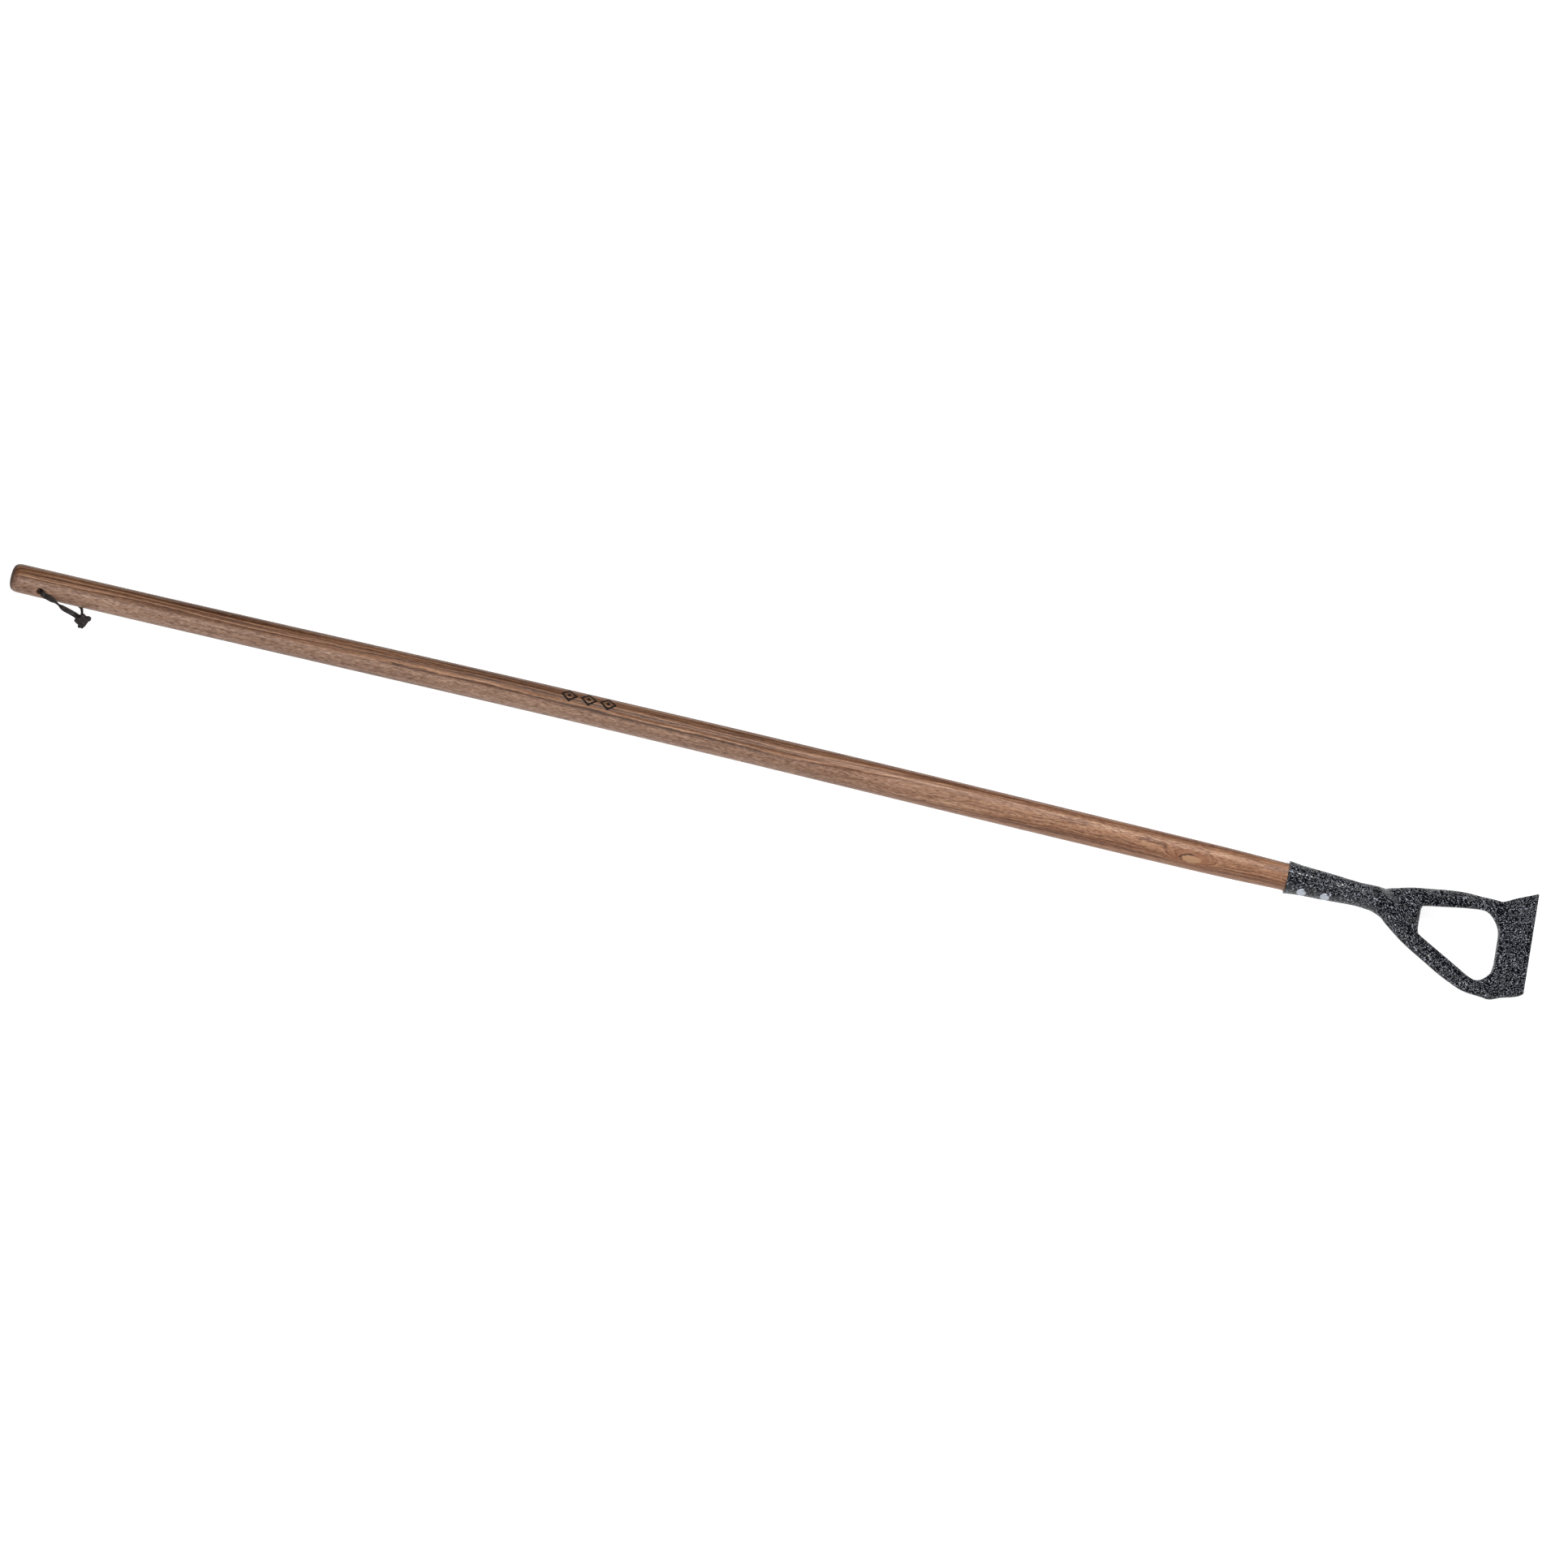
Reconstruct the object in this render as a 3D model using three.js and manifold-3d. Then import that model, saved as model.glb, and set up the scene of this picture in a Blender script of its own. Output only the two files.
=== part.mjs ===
// Dutch hoe (push hoe): an ash handle, a steel head with a socket, a forked yoke and a
// flat blade, two rivets, and a leather hanging lace tied in an overhand knot.
//
// Units are millimetres, +Z is up. The hoe is modelled in a tool frame, whose X axis is
// the handle's axis, with x = 0 at the socket's mouth and the blade at +X. The tool frame
// is then laid on the ground: the heel of the head and the butt of the handle are down.

import * as THREE from "three";
import { mergeVertices } from "three/addons/utils/BufferGeometryUtils.js";
import Module from "manifold-3d";

const wasm = await Module();
wasm.setup();

// ---------------------------------------------------------------- driving dimensions
const HANDLE_LENGTH = 1367;
const HANDLE_IN_SOCKET = 83;
const HANDLE_BOW = 4;
const BUTT_RADIUS = 14.1;
const BUTT_X = HANDLE_IN_SOCKET - HANDLE_LENGTH;

const HANG_HOLE_RADIUS = 3.6;
const HANG_HOLE_FROM_BUTT = 30.7;
const HANG_HOLE_ROLL = THREE.MathUtils.degToRad(14);

const SOCKET_LENGTH = 88;
const SOCKET_CAVITY_DEPTH = 84;
const SOCKET_WALL = 2.1;
const WOOD_CLEARANCE = 0.35;

const RIVET_STATIONS = [16.8, 40.3];
const RIVET_SHANK_RADIUS = 2.9;
const RIVET_BORE_RADIUS = 3.2;
const RIVET_HEAD_RADIUS = 4.8;
const RIVET_HEAD_HEIGHT = 1.5;
const RIVET_TAIL_RADIUS = 4.3;
const RIVET_TAIL_HEIGHT = 1.2;

const HEEL_X = 217;
const HEEL_DEPTH = 39.7;
const YOKE_PLATE = 10;
const YOKE_EDGE_ROUND = 4;
const CROWN = 0.0014;

const BLADE_EDGE = [250.4, -13.9];
const BLADE_BEVEL_START = [244.6, -20.6];
const BLADE_HALF_WIDTH_FRONT = 66;
const BLADE_HALF_WIDTH_HEEL = 62.8;
const BLADE_CORNER_RADIUS = 2;

const BUTT_LIFT = 1.6;

const LACE_RADIUS = 1.2;
const GAP = 0.3;

// Radii along the handle: [distance from the socket's mouth, radius].
const HANDLE_PROFILE = [
  [BUTT_X + 9, BUTT_RADIUS], [-1070, 14.35], [-853, 14.7], [-707, 14.9], [-560, 15.25],
  [-400, 15.5], [-216, 15.4], [-120, 15.2], [-53, 14.7], [-18, 13.9], [-4, 13.6],
];
// Radii of the socket's outside, which flares to a bell at the mouth.
const SOCKET_PROFILE = [
  [0, 16.4], [5, 15.8], [12, 15.0], [21, 14.5], [40, 13.7], [63, 12.3], [SOCKET_LENGTH, 11.1],
];
// Height of the yoke's middle surface below the handle's axis, from the neck to the heel.
const YOKE_DROOP = [
  [80, -0.6], [88, -1.4], [97, -3.8], [110, -8.2], [135, -14.8], [160, -20.6], [185, -26.2],
  [203, -31.6], [HEEL_X, -35.6], [230, -35.6],
];
const YOKE_THICKNESS = [[80, 21], [88, 19.6], [100, 13.4], [115, 10.6], [135, 9.8], [230, 8]];
// Half of the yoke's plan outline: the outer edge from the neck to the heel, and the
// edge of the D-shaped opening from the heel back to the crotch.
const YOKE_OUTER = [
  [70, 10.9], [87, 11], [97, 16.6], [106, 23.4], [125, 35.6], [149, 46.8], [168, 55.2],
  [187, 61], [203, 62.7], [HEEL_X, 62.8], [235, 63.3],
];
const YOKE_INNER = [
  [235, 12], [216.4, 31], [210.6, 40.4], [204, 45.4], [197, 44.8], [188, 41.3], [165, 31], [141, 20],
];
const CROTCH_X = 137.5;

// ---------------------------------------------------------------- helpers
const cylinderSegments = 36;

function closedSolid(geometry) {
  const bare = geometry.clone();
  bare.deleteAttribute("normal");
  bare.deleteAttribute("uv");
  const merged = mergeVertices(bare, 1e-4);
  return new wasm.Manifold(
    new wasm.Mesh({
      numProp: 3,
      vertProperties: Float32Array.from(merged.attributes.position.array),
      triVerts: Uint32Array.from(merged.index.array),
    }),
  );
}

function geometryOf(solid) {
  const mesh = solid.getMesh();
  const geometry = new THREE.BufferGeometry();
  geometry.setAttribute("position", new THREE.BufferAttribute(Float32Array.from(mesh.vertProperties), 3));
  geometry.setIndex(new THREE.BufferAttribute(Uint32Array.from(mesh.triVerts), 1));
  geometry.computeVertexNormals();
  return geometry;
}

// A smooth value read from a table of [x, value] rows.
function smoothAt(table, x) {
  if (x <= table[0][0]) return table[0][1];
  const last = table.length - 1;
  if (x >= table[last][0]) return table[last][1];
  let i = 0;
  while (x > table[i + 1][0]) i += 1;
  const slope = (k) => {
    const before = table[Math.max(k - 1, 0)];
    const after = table[Math.min(k + 1, last)];
    return (after[1] - before[1]) / (after[0] - before[0]);
  };
  const width = table[i + 1][0] - table[i][0];
  const t = (x - table[i][0]) / width;
  const bend = t * t * (3 - 2 * t);
  const rise = (t ** 3 - 2 * t * t + t) * width * slope(i);
  const fall = (t ** 3 - t * t) * width * slope(i + 1);
  return table[i][1] * (1 - bend) + table[i + 1][1] * bend + rise + fall;
}

// A body turned about the X axis, from [x, radius] rows that start and end on the axis.
function turned(rows, segments = cylinderSegments) {
  const profile = rows.map(([x, radius]) => new THREE.Vector2(radius, x));
  return new THREE.LatheGeometry(profile, segments).rotateZ(-Math.PI / 2);
}

function reshape(geometry, move) {
  const places = geometry.attributes.position;
  const point = new THREE.Vector3();
  for (let i = 0; i < places.count; i += 1) {
    move(point.fromBufferAttribute(places, i));
    places.setXYZ(i, point.x, point.y, point.z);
  }
  return geometry;
}

function crossBore(x, radius, roll = 0) {
  const bore = new THREE.CylinderGeometry(radius, radius, 60, 24);
  bore.rotateX(-roll).translate(x, 0, 0);
  return closedSolid(bore);
}

function box(x0, x1, y0, y1, z0, z1) {
  const block = new THREE.BoxGeometry(x1 - x0, y1 - y0, z1 - z0);
  block.translate((x0 + x1) / 2, (y0 + y1) / 2, (z0 + z1) / 2);
  return closedSolid(block);
}

function steps(from, to, count) {
  return Array.from({ length: count + 1 }, (_, i) => from + ((to - from) * i) / count);
}

// ---------------------------------------------------------------- materials
const ash = new THREE.MeshStandardMaterial({ color: 0x8c6a50, roughness: 0.5, metalness: 0 });
const hammeredPaint = new THREE.MeshStandardMaterial({ color: 0x2c2e33, roughness: 0.35, metalness: 0.4 });
const zinc = new THREE.MeshStandardMaterial({ color: 0xb6bcc6, roughness: 0.3, metalness: 1 });
const leather = new THREE.MeshStandardMaterial({ color: 0x2b211d, roughness: 0.6, metalness: 0 });

// ---------------------------------------------------------------- handle
function socketInside(x) {
  return smoothAt(SOCKET_PROFILE, x) - SOCKET_WALL;
}

function makeHandle() {
  const buttRound = [[0, 0], [0.3, 5.5], [1.3, 9.6], [3, 12.2], [5.6, 13.6]];
  const butt = buttRound.map(([x, radius]) => [BUTT_X + x, radius]);
  const shaft = steps(BUTT_X + 9, -4, 22).map((x) => [x, smoothAt(HANDLE_PROFILE, x)]);
  const tenon = steps(1, HANDLE_IN_SOCKET - 4, 5).map((x) => [x, socketInside(x) - WOOD_CLEARANCE]);
  const tip = [[HANDLE_IN_SOCKET - 1, 6.5], [HANDLE_IN_SOCKET, 4], [HANDLE_IN_SOCKET, 0]];
  const blank = reshape(turned([...butt, ...shaft, ...tenon, ...tip]), (point) => {
    const share = THREE.MathUtils.clamp(point.x / BUTT_X, 0, 1);
    point.z += HANDLE_BOW * Math.sin(Math.PI * share) ** 2;
  });
  const hangHole = crossBore(BUTT_X + HANG_HOLE_FROM_BUTT, HANG_HOLE_RADIUS, HANG_HOLE_ROLL);
  let solid = closedSolid(blank).subtract(hangHole);
  for (const x of RIVET_STATIONS) solid = solid.subtract(crossBore(x, RIVET_BORE_RADIUS));
  return geometryOf(solid);
}

// ---------------------------------------------------------------- head
function makeSocket() {
  const outside = steps(0, SOCKET_LENGTH - GAP / 2, 14).map((x) => [x, smoothAt(SOCKET_PROFILE, x)]);
  const inside = steps(SOCKET_CAVITY_DEPTH, 0, 12).map((x) => [x, socketInside(x)]);
  const rows = [...inside, ...outside];
  let solid = closedSolid(turned([[SOCKET_CAVITY_DEPTH, 0], ...rows, [SOCKET_LENGTH - GAP / 2, 0]]));
  for (const x of RIVET_STATIONS) solid = solid.subtract(crossBore(x, RIVET_BORE_RADIUS));
  return geometryOf(solid);
}

function makeYoke() {
  const side = (rows, sign) => rows.map(([x, y]) => new THREE.Vector2(x, sign * y));
  const smooth = (points) => new THREE.SplineCurve(points).getPoints(2 * points.length);
  const outer = (sign) => {
    const points = side(YOKE_OUTER, sign);
    return [points[0], ...smooth(points.slice(1, -1)), points.at(-1)];
  };
  const inner = (sign) => {
    const points = side(YOKE_INNER, sign);
    const crotch = side([[CROTCH_X + 1, 16.6], [CROTCH_X, 12]], sign);
    return [points[0], ...smooth(points.slice(1)), ...crotch];
  };
  const near = [...outer(-1), ...inner(-1)];
  const far = [...outer(1), ...inner(1)].reverse();
  const outline = new THREE.Shape([...near, ...far]);
  const plate = new THREE.ExtrudeGeometry(outline, {
    depth: YOKE_PLATE - 2 * YOKE_EDGE_ROUND,
    bevelThickness: YOKE_EDGE_ROUND,
    bevelSize: YOKE_EDGE_ROUND,
    bevelOffset: -YOKE_EDGE_ROUND,
    bevelSegments: 4,
    curveSegments: 3,
  });
  plate.translate(0, 0, YOKE_EDGE_ROUND - YOKE_PLATE / 2);
  reshape(plate, (point) => {
    const crown = CROWN * point.y ** 2 * THREE.MathUtils.smoothstep(HEEL_X - point.x, -1, 30);
    const thickness = smoothAt(YOKE_THICKNESS, point.x) / YOKE_PLATE;
    point.z = point.z * thickness + smoothAt(YOKE_DROOP, point.x) - crown;
  });
  const ends = box(SOCKET_LENGTH + GAP / 2, HEEL_X - GAP / 2, -80, 80, -60, 30);
  return geometryOf(closedSolid(plate).intersect(ends));
}

function makeBlade() {
  const profile = new THREE.Shape();
  const curve = (rows) => profile.splineThru(rows.map(([x, z]) => new THREE.Vector2(x, z)));
  profile.moveTo(HEEL_X + GAP / 2, -HEEL_DEPTH + 0.3);
  curve([[220.5, -38.2], [224.5, -34.8], [229.5, -29.9]]);
  profile.lineTo(...BLADE_BEVEL_START);
  profile.lineTo(...BLADE_EDGE);
  profile.lineTo(BLADE_EDGE[0] - 0.5, BLADE_EDGE[1] + 0.7);
  profile.lineTo(227, -26.8);
  curve([[221.5, -30], [HEEL_X + GAP / 2, -31.6]]);
  const slab = new THREE.ExtrudeGeometry(profile, { depth: 140, bevelEnabled: false, curveSegments: 4 });
  slab.translate(0, 0, -70).rotateX(Math.PI / 2);

  const corner = BLADE_CORNER_RADIUS;
  const plan = new THREE.Shape();
  plan.moveTo(HEEL_X, -BLADE_HALF_WIDTH_HEEL);
  for (const sign of [-1, 1]) {
    const y = sign * BLADE_HALF_WIDTH_FRONT;
    const entry = [BLADE_EDGE[0] - corner, y];
    const exit = [BLADE_EDGE[0], y - sign * corner];
    const [first, second] = sign < 0 ? [entry, exit] : [exit, entry];
    plan.lineTo(...first);
    plan.quadraticCurveTo(BLADE_EDGE[0], y, ...second);
  }
  plan.lineTo(HEEL_X, BLADE_HALF_WIDTH_HEEL);
  plan.closePath();
  const trim = new THREE.ExtrudeGeometry(plan, { depth: 80, bevelEnabled: false, curveSegments: 4 });
  trim.translate(0, 0, -60);
  return geometryOf(closedSolid(slab).intersect(closedSolid(trim)));
}

function makeRivet(x) {
  const wall = smoothAt(SOCKET_PROFILE, x);
  const dome = (base, radius, height) =>
    steps(0, 1, 5).map((t) => {
      const angle = (t * Math.PI) / 2;
      return [base + height * Math.sin(angle), radius * Math.cos(angle) ** 0.7];
    });
  const sunk = 1.2;
  const head = dome(wall, RIVET_HEAD_RADIUS, RIVET_HEAD_HEIGHT);
  const tail = dome(wall, RIVET_TAIL_RADIUS, RIVET_TAIL_HEIGHT).map(([y, radius]) => [-y, radius]);
  const rows = [
    ...tail.reverse(),
    [-(wall - sunk), RIVET_TAIL_RADIUS],
    [-(wall - sunk), RIVET_SHANK_RADIUS],
    [wall - sunk, RIVET_SHANK_RADIUS],
    [wall - sunk, RIVET_HEAD_RADIUS],
    ...head,
  ];
  rows[0][1] = 0;
  rows[rows.length - 1][1] = 0;
  const blank = turned(rows, 24).rotateZ(-Math.PI / 2).translate(x, 0, 0);
  const seatEnds = [-5, 70];
  const seatRows = steps(...seatEnds, 15).map((s) => [s, smoothAt(SOCKET_PROFILE, s) + GAP]);
  const seat = closedSolid(turned([[seatEnds[0], 0], ...seatRows, [seatEnds[1], 0]]));
  return geometryOf(closedSolid(blank).subtract(seat.subtract(crossBore(x, RIVET_SHANK_RADIUS))));
}

// ---------------------------------------------------------------- lace
// Points are [distance from the butt towards the blade, y, height above the ground].
const LACE_FRONT = [
  [30.7, -0.3, 16.3], [31, -4, 17.2], [31.4, -8, 18.2], [31.8, -12, 19.2], [32.6, -14.8, 19.6],
  [34.5, -16.1, 18.9], [37.4, -16.3, 17.6], [41.7, -16.3, 15.8], [46, -16.4, 13.8],
  [49.8, -16.6, 11.6], [54, -17, 9], [59.7, -17.4, 6.8], [64.8, -17.9, 5.4], [68.6, -18.8, 4.8],
  [70.6, -19.6, 4.6],
];
const LACE_BACK = [
  [30.7, 0.3, 16.1], [30.7, 4, 15.2], [30.7, 8, 14.2], [30.7, 12, 13.3], [31.2, 15.6, 12],
  [33, 18.2, 9.2], [36.4, 19.2, 5.6], [41, 18.6, 2.6], [46.6, 16.2, 1.4], [52.6, 12.8, 1.25],
  [58.6, 8.8, 1.25], [64.2, 4.6, 1.25], [69.4, 0.2, 1.3], [73, -4, 1.7], [75.2, -8.4, 2.6],
  [76, -12.8, 3.1], [76.4, -16.2, 3.6],
];
const KNOT_CENTRE = [77.6, -24.1, 4.6];
const KNOT_HALF_SIZE = [6.6, 6, 4.4];
const KNOT_TAILS = [
  { yaw: THREE.MathUtils.degToRad(35), length: 9.4, width: 5.6, thickness: 3, drop: 0.4 },
  { yaw: THREE.MathUtils.degToRad(-103), length: 8, width: 5, thickness: 2.4, drop: 2.6 },
];

function ribbon(points, buttX) {
  const route = new THREE.CatmullRomCurve3(points.map(([x, y, z]) => new THREE.Vector3(buttX + x, y, z)));
  const section = new THREE.Shape();
  section.absarc(0, 0, LACE_RADIUS, 0, 2 * Math.PI);
  return new THREE.ExtrudeGeometry(section, { steps: 26, curveSegments: 8, extrudePath: route });
}

function makeKnot(buttX) {
  let solid = closedSolid(new THREE.SphereGeometry(1, 20, 14).scale(...KNOT_HALF_SIZE));
  for (const { yaw, length, width, thickness, drop } of KNOT_TAILS) {
    const strip = new THREE.BoxGeometry(length, width, thickness).translate(length / 2, 0, -drop);
    solid = solid.add(closedSolid(strip.rotateZ(yaw)));
  }
  const [x, y, z] = KNOT_CENTRE;
  return geometryOf(solid.translate([buttX + x, y, z]));
}

// ---------------------------------------------------------------- assembly
function named(name, geometry, material) {
  const mesh = new THREE.Mesh(geometry, material);
  mesh.name = name;
  return mesh;
}

const tool = new THREE.Group();
tool.add(named("handle", makeHandle(), ash));
tool.add(named("socket", makeSocket(), hammeredPaint));
tool.add(named("yoke", makeYoke(), hammeredPaint));
tool.add(named("blade", makeBlade(), hammeredPaint));
RIVET_STATIONS.forEach((x, i) => tool.add(named(`rivet_${i + 1}`, makeRivet(x), zinc)));

// The hoe lies on its heel and its butt, so its axis climbs a little towards the head.
const climb = HEEL_DEPTH - BUTT_RADIUS - BUTT_LIFT;
tool.rotation.y = -Math.asin(climb / (HEEL_X - BUTT_X));
tool.updateMatrixWorld(true);
const extent = new THREE.Box3().setFromObject(tool, true);
const middle = extent.getCenter(new THREE.Vector3());
tool.position.set(-middle.x, -middle.y, -extent.min.z);
const buttX = extent.min.x - middle.x;

const hoe = new THREE.Group();
hoe.add(tool);
hoe.add(named("lace_front", ribbon(LACE_FRONT, buttX), leather));
hoe.add(named("lace_back", ribbon(LACE_BACK, buttX), leather));
hoe.add(named("lace_knot", makeKnot(buttX), leather));

export default hoe;
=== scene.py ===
import math
import bpy
import numpy as np
from mathutils import Matrix, Vector


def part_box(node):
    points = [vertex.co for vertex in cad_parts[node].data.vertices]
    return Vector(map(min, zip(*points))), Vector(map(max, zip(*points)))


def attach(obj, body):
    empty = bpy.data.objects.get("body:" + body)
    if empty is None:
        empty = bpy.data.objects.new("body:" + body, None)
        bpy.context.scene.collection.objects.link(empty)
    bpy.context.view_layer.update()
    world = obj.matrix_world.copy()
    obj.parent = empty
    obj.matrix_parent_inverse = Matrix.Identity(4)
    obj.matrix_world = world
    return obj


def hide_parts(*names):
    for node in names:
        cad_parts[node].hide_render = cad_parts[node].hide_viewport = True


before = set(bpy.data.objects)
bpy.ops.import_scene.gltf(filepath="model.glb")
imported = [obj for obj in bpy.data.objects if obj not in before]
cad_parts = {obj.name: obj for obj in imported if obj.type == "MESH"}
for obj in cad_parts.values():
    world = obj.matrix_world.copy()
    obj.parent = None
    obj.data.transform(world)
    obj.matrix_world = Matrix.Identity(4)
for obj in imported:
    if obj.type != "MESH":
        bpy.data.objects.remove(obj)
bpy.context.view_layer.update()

# The hoe's lengths are written in millimetres and turned into metres with MM. The camera, the
# materials and the lights work in metres.
MM = 0.001

# ------------------------------------------------------------------ the hoe's own frame
# The tool frame has its origin at the centre of the socket's mouth, +X along the handle
# towards the blade, and is tipped a little, because the hoe lies on its heel and its butt.
HANDLE_LENGTH = 1367.0
HANDLE_IN_SOCKET = 83.0
BUTT_X = HANDLE_IN_SOCKET - HANDLE_LENGTH
BUTT_RADIUS = 14.1
BUTT_LIFT = 1.6
HEEL_X = 217.0
HEEL_DEPTH = 39.7
SOCKET_MOUTH_RADIUS = 16.4
TILT = math.asin((HEEL_DEPTH - BUTT_RADIUS - BUTT_LIFT) / (HEEL_X - BUTT_X))

BUTT_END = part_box("handle")[0].x
TOOL_ORIGIN = Vector((
    BUTT_END - BUTT_X * MM * math.cos(TILT),
    0.0,
    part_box("socket")[1].z - SOCKET_MOUTH_RADIUS * MM * math.cos(TILT),
))
TOOL_TO_WORLD = Matrix.Translation(TOOL_ORIGIN) @ Matrix.Rotation(-TILT, 4, "Y")


def to_world(points_mm):
    """Points in the tool frame, in millimetres, as an array of world points in metres."""
    turn = np.array(TOOL_TO_WORLD.to_3x3())
    return np.asarray(points_mm, float) * MM @ turn.T + np.array(TOOL_ORIGIN)


def hermite(table, x):
    """A smooth value at x (a number or an array) from rows of [x, value]."""
    rows = np.array(table, float)
    at, value = rows[:, 0], rows[:, 1]
    slope = np.empty(len(at))
    slope[1:-1] = (value[2:] - value[:-2]) / (at[2:] - at[:-2])
    slope[0] = (value[1] - value[0]) / (at[1] - at[0])
    slope[-1] = (value[-1] - value[-2]) / (at[-1] - at[-2])
    x = np.clip(x, at[0], at[-1])
    i = np.clip(np.searchsorted(at, x, side="right") - 1, 0, len(at) - 2)
    width = at[i + 1] - at[i]
    t = (x - at[i]) / width
    bend = t * t * (3 - 2 * t)
    rise = (t**3 - 2 * t * t + t) * width * slope[i]
    fall = (t**3 - t * t) * width * slope[i + 1]
    return value[i] * (1 - bend) + value[i + 1] * bend + rise + fall


def smoothstep(low, high, x):
    t = np.clip((x - low) / (high - low), 0, 1)
    return t * t * (3 - 2 * t)


def add_mesh(name, vertices, faces, smooth=True):
    mesh = bpy.data.meshes.new(name)
    mesh.from_pydata([tuple(v) for v in vertices], [], [tuple(int(i) for i in f) for f in faces])
    mesh.update()
    if smooth:
        mesh.shade_smooth()
    piece = bpy.data.objects.new(name, mesh)
    bpy.context.scene.collection.objects.link(piece)
    return piece


def apply_modifiers(piece):
    bpy.context.view_layer.update()
    graph = bpy.context.evaluated_depsgraph_get()
    finished = bpy.data.meshes.new_from_object(piece.evaluated_get(graph))
    piece.modifiers.clear()
    piece.data = finished


# ------------------------------------------------------------------ camera
# The camera looks at the tool frame from this azimuth and elevation, with a very long lens.
# The slope is how far the handle runs down to the right in the picture.
AZIMUTH = math.radians(-6.0)
ELEVATION = math.radians(48.8)
SLOPE = math.radians(13.27)
CAMERA_DISTANCE = 50.0
SENSOR = 36.0
WIDTH_FILLED = 0.9754
CENTRE_SHIFT = (-0.0052, 0.0008)


def make_camera():
    back = Vector((
        math.sin(AZIMUTH) * math.cos(ELEVATION),
        -math.cos(AZIMUTH) * math.cos(ELEVATION),
        math.sin(ELEVATION),
    ))
    along = Vector((1, 0, 0))
    along = (along - back * along.dot(back)).normalized()
    across = back.cross(along)
    right = along * math.cos(SLOPE) + across * math.sin(SLOPE)
    turn = TOOL_TO_WORLD.to_3x3()
    back, right = turn @ back, turn @ right
    up = back.cross(right)
    points = np.array([v.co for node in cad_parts.values() for v in node.data.vertices])
    lateral, vertical, towards = (points @ np.array(axis) for axis in (right, up, back))
    middle = right * float(lateral.min() + lateral.max()) / 2
    middle += up * float(vertical.min() + vertical.max()) / 2
    middle += back * float(towards.min() + towards.max()) / 2
    frame_width = float(lateral.max() - lateral.min()) / WIDTH_FILLED
    aim = middle - right * CENTRE_SHIFT[0] * frame_width - up * CENTRE_SHIFT[1] * frame_width

    data = bpy.data.cameras.new("camera")
    data.sensor_width = SENSOR
    data.lens = SENSOR * CAMERA_DISTANCE / frame_width
    data.clip_start = 1
    data.clip_end = 2 * CAMERA_DISTANCE
    camera = bpy.data.objects.new("camera", data)
    camera.matrix_world = Matrix.Translation(aim + back * CAMERA_DISTANCE) @ Matrix(
        (right, up, back)
    ).transposed().to_4x4()
    bpy.context.scene.collection.objects.link(camera)
    bpy.context.scene.camera = camera


make_camera()


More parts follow.
